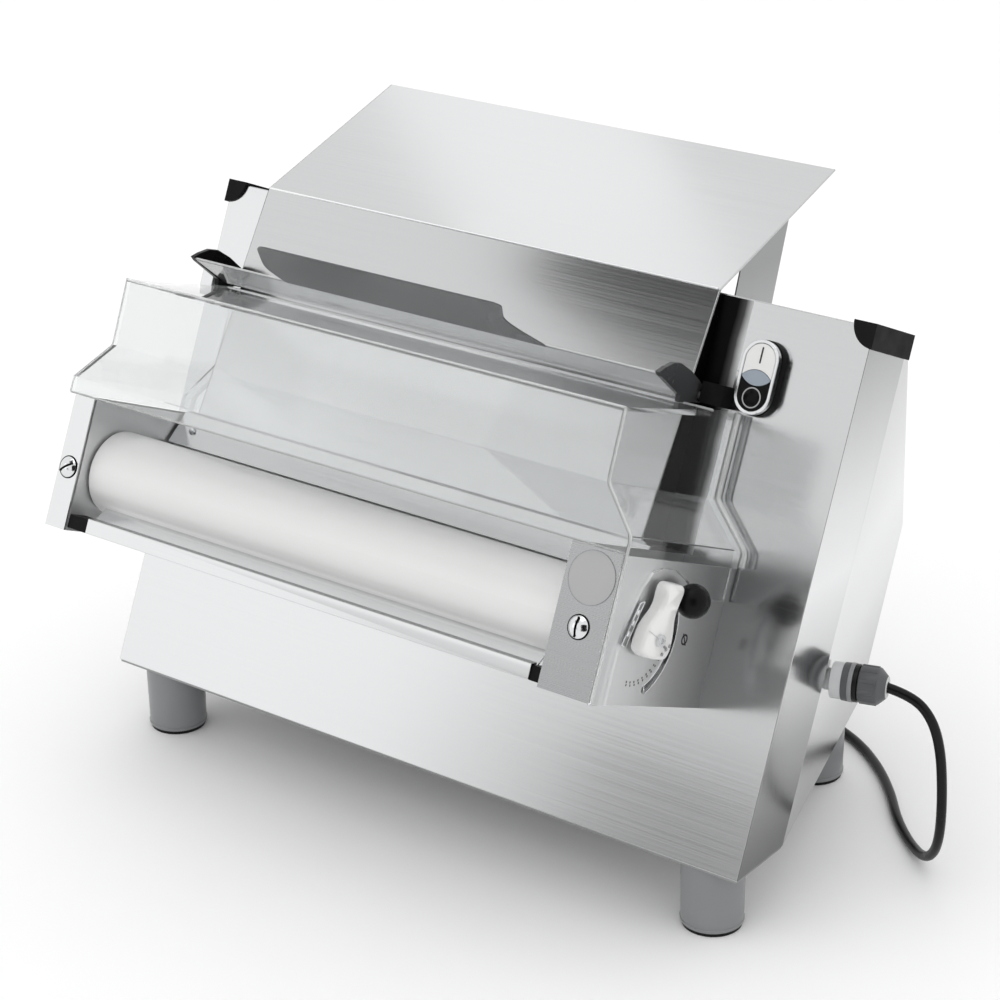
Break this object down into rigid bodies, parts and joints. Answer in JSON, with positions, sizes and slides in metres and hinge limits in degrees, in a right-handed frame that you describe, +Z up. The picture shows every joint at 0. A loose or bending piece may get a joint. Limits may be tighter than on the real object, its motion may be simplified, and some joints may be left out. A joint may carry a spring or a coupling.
{
  "type": "dough sheeter",
  "caption": "Bench-top dough sheeter: leaning stainless casing, paired plastic rollers under a lifting clear guard, feed chute, gap lever, push-button switch and mains cord.",
  "frame": {"origin": "centre of the footprint box of the machine without its cord, on the surface the feet stand on", "axes": "+Z up, +X along the rollers towards the lever side, -Y towards the front where the sheet comes out"},
  "size_m": [0.6899, 0.5324, 0.4804],
  "materials": {
    "bezel_silver": "satin chrome",
    "black_plastic": "black moulded plastic",
    "board_green": "circuit board",
    "bronze": "sintered bronze",
    "button_black": "black plastic",
    "button_white": "white plastic",
    "cast_box": "grey painted casting",
    "clear": "clear polycarbonate, polished",
    "dark_grey_plastic": "dark grey plastic sheet",
    "foot_grey": "satin grey plastic",
    "gland_dark": "dark grey nylon",
    "gland_grey": "light grey nylon",
    "knob_black": "polished black phenolic",
    "lens_grey": "frosted pilot lens",
    "lever_white": "glossy white plastic",
    "motor_alloy": "finned aluminium casing",
    "nylon_white": "white nylon",
    "roller_white": "smooth white food-grade plastic",
    "rubber_black": "black rubber",
    "stainless": "brushed stainless steel sheet",
    "steel_plain": "machined steel",
    "zinc_screw": "bright zinc-plated steel",
    "zinc_sheet": "zinc-plated sheet"
  },
  "bodies": {
    "frame": {"base_plate": "zinc_sheet", "bearing_plate_inner": "stainless", "bearing_screws": "zinc_screw", "block_guides": "nylon_white", "control_board": "board_green", "control_box": "black_plastic", "corner_caps": "black_plastic", "feet": "foot_grey", "foot_pads": "rubber_black", "foot_screws": "zinc_screw", "front_scraper": "stainless", "front_tray": "stainless", "gearbox": "cast_box", "gland_body": "gland_grey", "gland_nut": "gland_dark", "gland_seal": "rubber_black", "hinge_blocks": "black_plastic", "hinge_pins": "steel_plain", "hopper_chute": "stainless", "hopper_gussets": "stainless", "lever_catch": "steel_plain", "lower_cross_bar": "stainless", "mains_cord": "rubber_black", "cord_coil": "rubber_black", "mains_plug": "rubber_black", "motor": "motor_alloy", "motor_bracket": "zinc_sheet", "pilot_lens": "lens_grey", "rear_bearing_housings": "steel_plain", "rear_bushes": "bronze", "rear_cover": "stainless", "rear_roller_scraper": "stainless", "run_capacitor": "black_plastic", "scraper_end_blocks": "black_plastic", "scraper_screws": "zinc_screw", "side_plate_left": "stainless", "side_plate_right": "stainless", "switch_bezel": "bezel_silver", "switch_body": "black_plastic", "switch_gasket": "black_plastic"},
    "rear_roller_body": {"rear_roller": "roller_white", "rear_shaft": "steel_plain", "rear_gear": "steel_plain"},
    "carriage": {"bearing_blocks": "steel_plain"},
    "front_roller_body": {"front_roller": "roller_white", "front_roller_core": "steel_plain", "front_roller_bushes": "bronze", "front_gear": "nylon_white"},
    "drive": {"pinion_shaft": "steel_plain"},
    "lever": {"lever_handle": "lever_white", "lever_link": "zinc_screw", "lever_knob": "knob_black", "knob_nut": "zinc_screw", "lever_screw": "zinc_screw", "adjusting_shaft": "steel_plain"},
    "guard_body": {"guard": "clear", "feed_funnel": "dark_grey_plastic", "funnel_cheeks": "black_plastic"},
    "start": {"start_button": "button_white"},
    "stop": {"stop_button": "button_black"}
  },
  "joints": [
    {"name": "rear_roller_spin", "type": "hinge", "parent": "frame", "child": "rear_roller_body", "pos_m": [0, -0.09238, 0.21717], "axis": [1, 0, 0], "continuous": true},
    {"name": "carriage_slide", "type": "slide", "parent": "frame", "child": "carriage", "axis": [0, 0.9123, -0.4096], "range_m": [0, 0.0045]},
    {"name": "front_roller_spin", "type": "hinge", "parent": "carriage", "child": "front_roller_body", "pos_m": [0, -0.15715, 0.24625], "axis": [1, 0, 0], "continuous": true},
    {"name": "drive_spin", "type": "hinge", "parent": "frame", "child": "drive", "pos_m": [0, -0.03117, 0.18969], "axis": [1, 0, 0], "continuous": true},
    {"name": "lever_turn", "type": "hinge", "parent": "frame", "child": "lever", "pos_m": [0.24, -0.15578, 0.24564], "axis": [-1, 0, 0], "range_deg": [0, 100]},
    {"name": "guard_lift", "type": "hinge", "parent": "frame", "child": "guard_body", "pos_m": [0, -0.00163, 0.35948], "axis": [-1, 0, 0], "range_deg": [0, 60]},
    {"name": "start_press", "type": "slide", "parent": "frame", "child": "start", "axis": [0, 0.9123, -0.4096], "range_m": [0, 0.003], "stiffness_N_per_m": 300},
    {"name": "stop_press", "type": "slide", "parent": "frame", "child": "stop", "axis": [0, 0.9123, -0.4096], "range_m": [0, 0.003], "stiffness_N_per_m": 300}
  ],
  "couplings": [
    {"joint": "front_roller_spin", "follows": "rear_roller_spin", "ratio": -1},
    {"joint": "drive_spin", "follows": "rear_roller_spin", "ratio": -1},
    {"joint": "lever_turn", "follows": "carriage_slide", "rad_per_m": 387.85}
  ]
}
